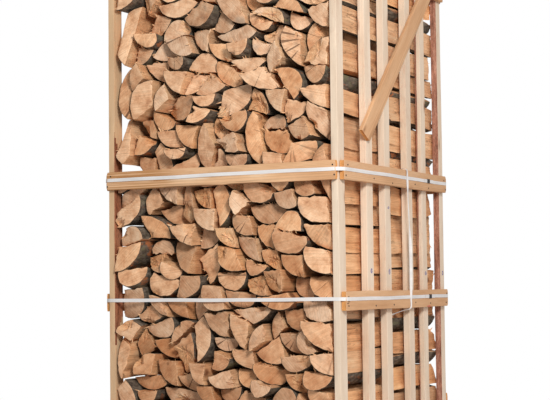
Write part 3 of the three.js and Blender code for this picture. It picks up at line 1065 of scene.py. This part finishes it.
def split_off(points, kinds, angle, distance):
    """Keeps what lies short of a straight split; the new edge is a split one."""
    past = points @ np.array([math.cos(angle), math.sin(angle)]) - distance
    kept, kept_kinds = [], []
    for i in range(len(points)):
        j = (i + 1) % len(points)
        if past[i] <= 0:
            kept.append(points[i])
            kept_kinds.append(kinds[i])
        if (past[i] <= 0) != (past[j] <= 0):
            t = past[i] / (past[i] - past[j])
            kept.append(points[i] + t * (points[j] - points[i]))
            kept_kinds.append(SPLIT if past[i] <= 0 else kinds[i])
    return np.array(kept), np.array(kept_kinds)


def even_outline(points, kinds):
    """The outline with evenly spaced points that keep its corners."""
    ahead = np.roll(points, -1, 0) - points
    heading = np.arctan2(ahead[:, 1], ahead[:, 0])
    turn = np.abs((heading - np.roll(heading, 1) + math.pi) % math.tau - math.pi)
    corners = np.flatnonzero((turn > CORNER_TURN) | (kinds != np.roll(kinds, 1)))
    result, result_kinds = [], []
    for a, b in zip(corners, np.roll(corners, -1)):
        count = (b - a) % len(points) or len(points)
        run = points[(a + np.arange(count + 1)) % len(points)]
        length = travelled(run)
        steps = max(1, round(length[-1] / OUTLINE_STEP))
        at = np.linspace(0, length[-1], steps, endpoint=False)
        result.append(np.stack([np.interp(at, length, run[:, 0]), np.interp(at, length, run[:, 1])], 1))
        result_kinds += [kinds[a]] * steps
    return np.concatenate(result), np.array(result_kinds)


def roughen(points, kinds, rng):
    """Split edges wander and are ragged by a few millimetres, bark edges by less."""
    step = np.linalg.norm(points - np.roll(points, 1, 0), axis=1)
    along = np.cumsum(step) / step.sum()
    ragged = RAGGED if rng.random() < RAGGED_SHARE else 1.0
    wave = rng.normal(0, 0.0005 * ragged, len(points))
    for count, height in WAVES:
        height *= ragged if count > 3 else 1.0
        wave += height * rng.uniform(0.3, 1) * np.sin(math.tau * (count * along + rng.random()))
    return points + outward(points) * (wave * np.where(kinds == SPLIT, 1.0, BARK_WAVES))[:, None]


def area_of(points):
    x, y = points.T
    return 0.5 * np.sum(x * np.roll(y, -1) - y * np.roll(x, -1))


def log_section(rng):
    """The outline of one split log around the heart of its tree, and the kind of each edge."""
    names = list(LOG_KINDS)
    kind = names[rng.choice(len(names), p=[LOG_KINDS[name][0] for name in names])]
    _, radii, opening = LOG_KINDS[kind]
    radius = rng.uniform(*radii)
    around = np.linspace(0, math.tau, 120, endpoint=False)
    oval = 0.05 * np.cos(2 * around + rng.uniform(0, 7)) + 0.035 * np.cos(3 * around + rng.uniform(0, 7))
    points = (radius * (1 + oval) * np.array([np.cos(around), np.sin(around)])).T
    kinds = np.full(len(points), BARK)
    if opening is None:
        level = rng.uniform(*HALF_SPLIT) if kind == "half" else -rng.uniform(*SLAB_SPLIT)
        points, kinds = split_off(points, kinds, math.pi / 2 + rng.uniform(-0.1, 0.1), radius * level)
        return even_outline(points, kinds)
    half = math.radians(rng.uniform(*opening)) / 2
    for side in (-half, half):
        off = radius * rng.uniform(-WEDGE_SPLIT, WEDGE_SPLIT)
        points, kinds = split_off(points, kinds, math.pi / 2 + side, off)
    if kind in ("blunt", "inner"):
        off = -radius * rng.uniform(*BLUNT_SPLIT)
        points, kinds = split_off(points, kinds, math.pi / 2 + rng.uniform(-0.5, 0.5), off)
    if kind == "inner":
        off = radius * rng.uniform(*INNER_SPLIT)
        points, kinds = split_off(points, kinds, -math.pi / 2 + rng.uniform(-0.35, 0.35), off)
    return even_outline(points, kinds)


# ---- Firewood: stacking ---------------------------------------------------------------------

COLUMN = 0.004  # the stack's skyline is kept as heights in columns this wide
POOL_TURNS = 6  # how many ways round each section is offered
POOL_SIZE = 2400
FEWEST_POINTS = 8
BARK_DOWN = 0.90  # share of the turns that leave the bark underneath, leaning to the left
BARK_DOWN_LEAN = -0.50
BARK_DOWN_SPREAD = 0.62
TALL = 1.05  # turns that stand taller than this many widths are mostly left out
TALL_SKIPPED = 0.93
CLOSE = 0.030  # hollows narrower than this count as lost space
# The best place for a log wastes the least space. These prices, in areas of the log, come on top:
BARK_AT_WALL_PRICE = 0.6  # for bark beside the slats
LEVEL_PRICE = 2.0  # for each metre above the mean level of the stack
RISE_PRICE = 6.0  # for each metre above its lowest point
SKY = 9.0  # the walls are higher than any log
BEST_PLACES = 10  # how many of a log's places are looked at closely
HOPELESS = 0.3  # a log whose first guess is this much dearer than the best is passed over
BESIDE_WALL = 3  # columns


def outline_profile(points):
    """The lowest and highest height of an outline in each column, from its lowest left corner."""
    low_corner = points.min(0)
    count = math.ceil((points[:, 0].max() - low_corner[0]) / COLUMN) + 1
    below, above = np.full(count, np.inf), np.full(count, -np.inf)
    for (x0, y0), (x1, y1) in zip(points, np.roll(points, -1, 0)):
        if x0 > x1:
            x0, y0, x1, y1 = x1, y1, x0, y0
        first = int((x0 - low_corner[0]) / COLUMN)
        last = int((x1 - low_corner[0]) / COLUMN)
        for i in range(first, last + 1):
            for edge in (i, i + 1):
                x = min(max(low_corner[0] + edge * COLUMN, x0), x1)
                y = y0 if x1 == x0 else y0 + (y1 - y0) * (x - x0) / (x1 - x0)
                below[i], above[i] = min(below[i], y), max(above[i], y)
    used = np.isfinite(below)
    return below[used] - low_corner[1], above[used] - low_corner[1]


def section_pool(rng, count):
    """Many sections, each turned several ways: outline, edge kinds, heart, profiles and area."""
    pool = []
    while len(pool) < count:
        points, kinds = log_section(rng)
        area = abs(area_of(points))
        if len(points) < FEWEST_POINTS or not LOG_AREA[0] < area < LOG_AREA[1]:
            continue
        points = roughen(points, kinds, rng)
        for _ in range(POOL_TURNS):
            any_turn = rng.uniform(0, math.tau)
            usual_turn = rng.normal(BARK_DOWN_LEAN, BARK_DOWN_SPREAD)
            turn = usual_turn if rng.random() < BARK_DOWN else any_turn
            cos, sin = math.cos(turn), math.sin(turn)
            turned = points @ np.array([[cos, sin], [-sin, cos]])
            width, height = np.ptp(turned, axis=0)
            if height > TALL * width and rng.random() < TALL_SKIPPED:
                continue
            corner = turned.min(0)
            bark_beside = [kinds[np.argmin(turned[:, 0])] == BARK, kinds[np.argmax(turned[:, 0])] == BARK]
            pool.append((turned - corner, kinds, -corner, *outline_profile(turned), area, bark_beside))
    return pool


def widest(heights, reach):
    """Each row's running maximum over reach columns to both sides."""
    result = heights.copy()
    for shift in range(1, reach + 1):
        result[:, shift:] = np.maximum(result[:, shift:], heights[:, :-shift])
        result[:, :-shift] = np.maximum(result[:, :-shift], heights[:, shift:])
    return result


def closed_over(heights, reach):
    return -widest(-widest(heights, reach), reach)


def stack_logs(rng, left, right, bottom, top_limit, tries):
    """Piles sections up between two walls; returns the outline, edge kinds and heart of each."""
    pool = section_pool(rng, POOL_SIZE)
    reach = round(CLOSE / COLUMN)
    wall = 2 * reach + 1
    columns = int((right - left) / COLUMN)
    skyline = np.full(columns + 2 * wall, bottom)
    skyline[:wall] = skyline[-wall:] = SKY
    stack = []
    while True:
        inside = skyline[wall:-wall]
        mean, lowest = inside.mean(), inside.min()
        best = None
        for k in rng.choice(len(pool), tries, replace=False):
            _, _, _, below, above, area, bark_beside = pool[k]
            count = len(below)
            window = np.lib.stride_tricks.sliding_window_view(inside, count)
            rest = (window - below).max(1)
            lost = (rest[:, None] + below - window).sum(1) * COLUMN
            peak = rest + above.max()
            price = LEVEL_PRICE * np.maximum(0, peak - mean) + RISE_PRICE * (rest - lowest)
            price[:BESIDE_WALL] += BARK_AT_WALL_PRICE * bark_beside[0]
            price[-BESIDE_WALL:] += BARK_AT_WALL_PRICE * bark_beside[1]
            rough = np.where(peak > top_limit, np.inf, lost / area + price)
            places = np.argsort(rough)[:BEST_PLACES]
            places = places[np.isfinite(rough[places])]
            if not len(places) or (best is not None and rough[places[0]] > best[0] + HOPELESS):
                continue
            before = skyline[places[:, None] + np.arange(count + 2 * wall)]
            after = before.copy()
            under = after[:, wall : wall + count]
            np.maximum(under, rest[places, None] + above, out=under)
            growth = (closed_over(after, reach) - closed_over(before, reach))[:, reach:-reach].sum(1)
            score = growth * COLUMN / area + price[places]
            j = int(np.argmin(score))
            if best is None or score[j] < best[0]:
                best = (score[j], k, places[j], rest[places[j]])
        if best is None:
            return stack
        _, k, column, height = best
        outline, kinds, heart, below, above, _, _ = pool[k]
        shift = np.array([left + column * COLUMN, height])
        stack.append((outline + shift, kinds, heart + shift))
        part = skyline[wall + column : wall + column + len(above)]
        np.maximum(part, height + above, out=part)


# ---- Firewood: logs in the round ------------------------------------------------------------

FAR_END = (0.008, 0.060)  # how far short of the crate's middle the hidden ends lie
TIP_SPREAD = 0.100  # how far the sawn ends lie behind the foremost ones
TIP_SPREAD_BEHIND = 0.040  # and in the row behind, which is stacked more evenly
TIP_SHAPE = (1.3, 1.7)  # the beta distribution of the ends over that depth
AT_LEFT = 0.20  # the shares of that spread that the logs beside the slats have
AT_RIGHT = 0.45
LEAST_INSET = 0.002
HELD_INSET = 0.0175  # how far the boards and the lower strap hold the ends back
BAND_MARGIN = 0.012
END_TILT = 0.17
END_TILT_AT_RIGHT = 1.6
TORN_ENDS = 0.10  # share of the logs with a large piece torn off the end
TORN_CORNERS = 0.45  # and with a small one
# Painted light: logs beside the slats are made paler by this share of their range of tones.
LIT_AT_WALL = 0.2
DRIED_AND_LIT_ABOVE = 0.50  # logs are paler towards the top, partly as drier wood and partly as painted light from above, by this share of their range of tones
BARK_THICK = 0.0042
SHRINK = 0.0008  # keeps neighbouring logs apart
# The spreads of how much a log changes its size, turns, bows and leans over its length.
TAPER, TAPER_AT_WALL = 0.02, 0.07
TWIST = 0.05
BEND, BEND_AT_WALL = 0.003, 0.007
LEAN, LEAN_OF_SOME, LEAN_SHARE = 0.035, 0.10, 0.25
SWELL = 0.0016  # depth of the slow waves along its sides
RIDGES = (0.0014, 0.0008)  # depth of the long ridges on split faces and on bark
FRAYS = (0.0022, 0.0009)  # how ragged the rim of the sawn end is beside them
TORN_REACH = (0.014, 0.036)  # how far a small torn piece reaches across the end
TORN_REACH_LARGE = (0.040, 0.070)
TORN_DEPTH = (0.008, 0.030)
TORN_EDGE = (0.008, 0.020)  # the width of its sloping border
TORN_LENGTH = 0.05  # how soon it fades out along the log
END_ROUGH = 0.00045
AT_WALL = 0.030  # logs this near to the slats lie further forward
CAP_RINGS = (1.0, 0.74, 0.48, 0.22)
# How many rings of points a log has, and how they crowd towards its sawn end.
RINGS_INSIDE = (13, 1.9)
RINGS_SHOWN = (27, 1.15)  # at the sides and the top of the stack
RIM_RING = 0.0016  # one more lies this close behind the rim
LOGS_A_PIECE = 260


def held_back(low, high):
    """How far the boards and the lower strap hold back a log between these heights."""
    for node in ("front_board_base", "front_board_middle", "front_board_top", "strap_lower"):
        band_low, band_high = span(node)
        if high > band_low[2] - BAND_MARGIN and low < band_high[2] + BAND_MARGIN:
            return HELD_INSET
    return 0.0


def log_mesh(outline, kinds, heart, row, shown, rng):
    """One log as points, faces, face slots, wood places and tone. row is -1 in front, +1 behind."""
    row_low, row_high = span("firewood_front_row" if row < 0 else "firewood_back_row")
    foremost = max(abs(row_low[1]), abs(row_high[1]))
    at_left = outline[:, 0].min() - row_low[0] < AT_WALL
    at_right = row_high[0] - outline[:, 0].max() < AT_WALL
    at_wall = at_left or at_right
    spread = TIP_SPREAD if row < 0 else TIP_SPREAD_BEHIND
    spread *= AT_LEFT if at_left else AT_RIGHT if at_right else 1.0
    inset = LEAST_INSET + spread * rng.beta(*TIP_SHAPE)
    tilt = rng.normal(0, END_TILT * (END_TILT_AT_RIGHT if at_right else 1.0), 2)
    count = len(outline)
    centre = outline.mean(0)
    outline = outline - outward(outline) * SHRINK
    from_centre = outline - centre
    slope = from_centre @ tilt
    held = held_back(outline[:, 1].min(), outline[:, 1].max())
    inset = max(inset, held - slope.min(), 0.001 - slope.min())
    length = foremost - inset - rng.uniform(*FAR_END)
    ring_count, crowding = RINGS_SHOWN if shown else RINGS_INSIDE
    stations = np.insert(length * np.linspace(0, 1, ring_count) ** crowding, 1, RIM_RING)
    t = stations / length

    # Rings of the side wall: taper, bend, twist and long fibre ridges.
    size = 1 + rng.normal(0, TAPER_AT_WALL if at_wall else TAPER) * (t - 0.1)
    twist = rng.normal(0, TWIST) * (t - 0.1)
    bend = rng.normal(0, [BEND, BEND_AT_WALL if at_wall else BEND]) * np.sin(math.pi * t)[:, None]
    lean_by = LEAN_OF_SOME if rng.random() < LEAN_SHARE else LEAN
    lean = rng.normal(0, lean_by, 2) * ((stations - 0.03) * np.exp(-stations / 0.12))[:, None]
    phase = np.cumsum(rng.normal(0, 1.3, count))
    speed = rng.uniform(14, 40, count)
    depth = np.where(kinds == SPLIT, *RIDGES) * rng.uniform(0.3, 1.0, count)
    ridge = depth * (0.5 + 0.5 * np.sin(stations[:, None] * speed + phase))
    swell = SWELL * np.sin(stations * rng.uniform(12, 30) + phase[0])[:, None]
    normal = outward(outline)
    cos, sin = np.cos(twist)[:, None], np.sin(twist)[:, None]
    pushed = from_centre[None] - normal[None] * (ridge + np.maximum(0, swell))[:, :, None]
    wall = np.zeros((len(stations), count, 3))
    wall[:, :, 0] = size[:, None] * (pushed[:, :, 0] * cos - pushed[:, :, 1] * sin)
    wall[:, :, 2] = size[:, None] * (pushed[:, :, 0] * sin + pushed[:, :, 1] * cos)
    wall[:, :, [0, 2]] += centre + bend[:, None] + lean[:, None]
    fray = np.where(kinds == SPLIT, *FRAYS) * rng.random(count)
    wall[:, :, 1] = inset + stations[:, None] + slope * (1 - t)[:, None]
    wall[0, :, 1] += fray

    # Some ends have a piece torn off beside one edge.
    tear_at = outline[rng.integers(count)]
    tear_reach = rng.uniform(*TORN_REACH) if rng.random() < TORN_CORNERS else 0.0
    if rng.random() < TORN_ENDS:
        tear_reach = rng.uniform(*TORN_REACH_LARGE)
    tear_depth = rng.uniform(*TORN_DEPTH)
    tear_edge = rng.uniform(*TORN_EDGE)

    def torn(places):
        """How far the end is torn back, 0 to 1, at places across and up."""
        gap = np.linalg.norm(places - tear_at, axis=1) + 0.004 * np.sin(places[:, 0] * 400)
        return np.clip((tear_reach - gap) / tear_edge, 0, 1)

    wall[:, :, 1] += tear_depth * torn(wall[0][:, [0, 2]]) * np.exp(-stations / TORN_LENGTH)[:, None]

    # The sawn end: rings of points towards the middle.
    end_centre = wall[0].mean(0)
    rim_offset = wall[0] - end_centre
    reach = np.linalg.norm(rim_offset[:, [0, 2]], axis=1)
    rim_offset *= (1 - np.minimum(BARK_THICK / reach, 0.4))[:, None]
    cap = []
    for scale in CAP_RINGS:
        ring = end_centre + rim_offset * scale
        tear = torn(ring[:, [0, 2]])
        ring[:, 1] = inset + (ring[:, [0, 2]] - centre) @ tilt + tear_depth * tear - 0.0006
        ring[:, 1] += rng.normal(0, END_ROUGH, count) * (1 + 4 * tear)
        cap.append(ring)
    middle = end_centre.copy()
    middle[1] = inset + tear_depth * torn(end_centre[None, [0, 2]])[0]

    # The far end is a plain flat one.
    points = np.concatenate([wall.reshape(-1, 3), *cap, [middle], [wall[-1].mean(0)]])
    index = numbered(wall)
    cap_index = index.size + numbered(np.array(cap))
    quads = ring_faces(np.concatenate([cap_index[::-1], index]))
    last = len(points) - 1
    tip = np.stack([cap_index[-1], np.full(count, last - 1), np.roll(cap_index[-1], -1)], 1)
    tail = np.stack([index[-1], np.roll(index[-1], -1), np.full(count, last)], 1)
    wall_slots = np.where(kinds == BARK, 2, 1)
    cap_slots = torn(points[quads[: len(CAP_RINGS) * count, 0]][:, [0, 2]]) > 0.3
    slots = np.concatenate([cap_slots, np.tile(wall_slots, len(stations) - 1), np.zeros(2 * count, int)])

    # Places in the tree, and how near to the bark or the edge each point of the sawn end is.
    wood = np.column_stack([points[:, [0, 2]] - heart, points[:, 1] + rng.uniform(1, 60)])
    on_wall = len(stations) * count
    edge = np.zeros((len(points), 3))
    edge[:on_wall, 0] = np.tile((kinds == BARK) | (np.roll(kinds, 1) == BARK), len(stations))
    edge[:on_wall, 1] = 1.0
    edge[:, 2] = points[:, 1] - inset
    # Paler towards the top, partly as drier wood and partly as painted light; paler beside the slats as
    # painted light.
    dried_and_lit = DRIED_AND_LIT_ABOVE * min(centre[1] / row_high[2], 1.0) + LIT_AT_WALL * at_wall
    tone = np.tile(rng.random(3) * [1 - DRIED_AND_LIT_ABOVE, 1, 1] + [dried_and_lit, 0, 0], (len(points), 1))
    points[:, 1] = (foremost - points[:, 1]) * row
    tris = np.concatenate([tip, tail])
    if row < 0:
        quads, tris = quads[:, ::-1], tris[:, ::-1]
    return points, quads, tris, slots, {"wood": wood, "tone": tone, "edge": edge}


SHRED_LENGTH = (0.006, 0.030)
SHRED_WIDTH = (0.0012, 0.0042)
SHREDS_MOST = 9
SHRED_ROOT = 0.0008  # how deep below the split face a shred starts
SHRED_LEAN = (-0.2, 0.9)  # how much it leans away from the log
SHRED_STRAY = 0.25
SHRED_BOW = (-0.1, 0.35)  # as a share of its length
SHRED_PALER = 0.5
TIP_LIMIT = 0.580  # no shred reaches further out than this


def shred_meshes(log, outline_count, row, rng):
    """Thin torn fibres that stand up from the split edges at a log's sawn end."""
    points, _, _, _, vectors = log
    rim = points[:outline_count]
    rim_in = points[2 * outline_count : 3 * outline_count]
    out_way = rim - rim.mean(0)
    out_way[:, 1] = 0
    out_way = unit(out_way)
    split = np.flatnonzero(vectors["edge"][:outline_count, 0] == 0)
    made = []
    if not len(split):
        return made
    for j in rng.choice(split, rng.integers(0, SHREDS_MOST + 1)):
        root = rim_in[j] - out_way[j] * SHRED_ROOT
        length, width = rng.uniform(*SHRED_LENGTH), rng.uniform(*SHRED_WIDTH)
        way = np.array([0, row, 0]) + out_way[j] * rng.uniform(*SHRED_LEAN)
        way = unit(way + rng.normal(0, SHRED_STRAY, 3))
        side = unit(np.cross(way, out_way[j]))
        up = np.cross(side, way)
        bow = out_way[j] * rng.uniform(*SHRED_BOW) * length
        base = [root + side * width, root - side * width, root + up * width * 0.5]
        mid = [p + way * length * 0.55 + bow * 0.3 - (p - root) * 0.25 for p in base]
        tip = root + way * length + bow
        tip[1] = np.clip(tip[1], -TIP_LIMIT, TIP_LIMIT)
        shred = np.array([*base, *mid, tip])
        quads = np.array([[0, 1, 4, 3], [1, 2, 5, 4], [2, 0, 3, 5]])
        tris = np.array([[2, 1, 0], [3, 4, 6], [4, 5, 6], [5, 3, 6]])
        at = {key: np.repeat(values[j : j + 1], 7, 0) for key, values in vectors.items()}
        at["wood"] = at["wood"] + (shred - rim[j])
        at["tone"] = at["tone"] + [SHRED_PALER, 0, 0]
        made.append((shred, quads, tris, np.ones(7, int), at))
    return made


def add_log_piece(name, logs, node):
    """Several logs as one joined mesh."""
    points = np.concatenate([log[0] for log in logs])
    starts = np.cumsum([0] + [len(log[0]) for log in logs])
    faces = []
    for log, start in zip(logs, starts):
        faces += (log[1] + start).tolist() + (log[2] + start).tolist()
    slots = np.concatenate([log[3] for log in logs])
    vectors = {key: np.concatenate([log[4][key] for log in logs]) for key in ("wood", "tone", "edge")}
    carry(make_piece(name, points, faces, LOG_MATERIALS, slots, vectors, SHARP_LOG), "firewood", node)


LEFT_GAP = 0.004
LEFT_SHIFT = 0.008  # the stack is then drawn out towards the left posts by this much
TOP_GAP = 0.01
STACK_SEEDS = {-1: 8, 1: 12}
SHOWN = (0.06, 0.04, 0.10)  # logs this near to the left, right and top are seen from the side
TRIES = 140  # how many turned sections are tried for each place
SHARP_LOG = 38


def add_row(row):
    """One row of logs, -1 in front and +1 behind, between the slats of the two sides."""
    node = "firewood_front_row" if row < 0 else "firewood_back_row"
    low, high = span(node)
    rng = np.random.default_rng(STACK_SEEDS[row])
    tries = TRIES
    stack = stack_logs(rng, low[0] + LEFT_GAP, high[0], low[2], high[2] - TOP_GAP, tries)
    logs = []
    for outline, kinds, heart in stack:
        shift = [LEFT_SHIFT * (high[0] - outline[:, 0].mean()) / (high[0] - low[0]), 0]
        outline, heart = outline - shift, heart - shift
        left, right = outline[:, 0].min(), outline[:, 0].max()
        room = (left - low[0], high[0] - right, high[2] - outline[:, 1].max())
        log = log_mesh(outline, kinds, heart, row, any(np.less(room, SHOWN)), rng)
        logs.append(log)
        if not held_back(outline[:, 1].min(), outline[:, 1].max()):
            logs += shred_meshes(log, len(outline), row, rng)
    for number, start in enumerate(range(0, len(logs), LOGS_A_PIECE), 1):
        add_log_piece(f"{node}_logs_{number}", logs[start : start + LOGS_A_PIECE], node)


# ---- The whole scene ------------------------------------------------------------------------

add_camera()
add_light()
add_floor()
add_all_timber()
add_fastenings()
add_row(-1)
add_row(1)
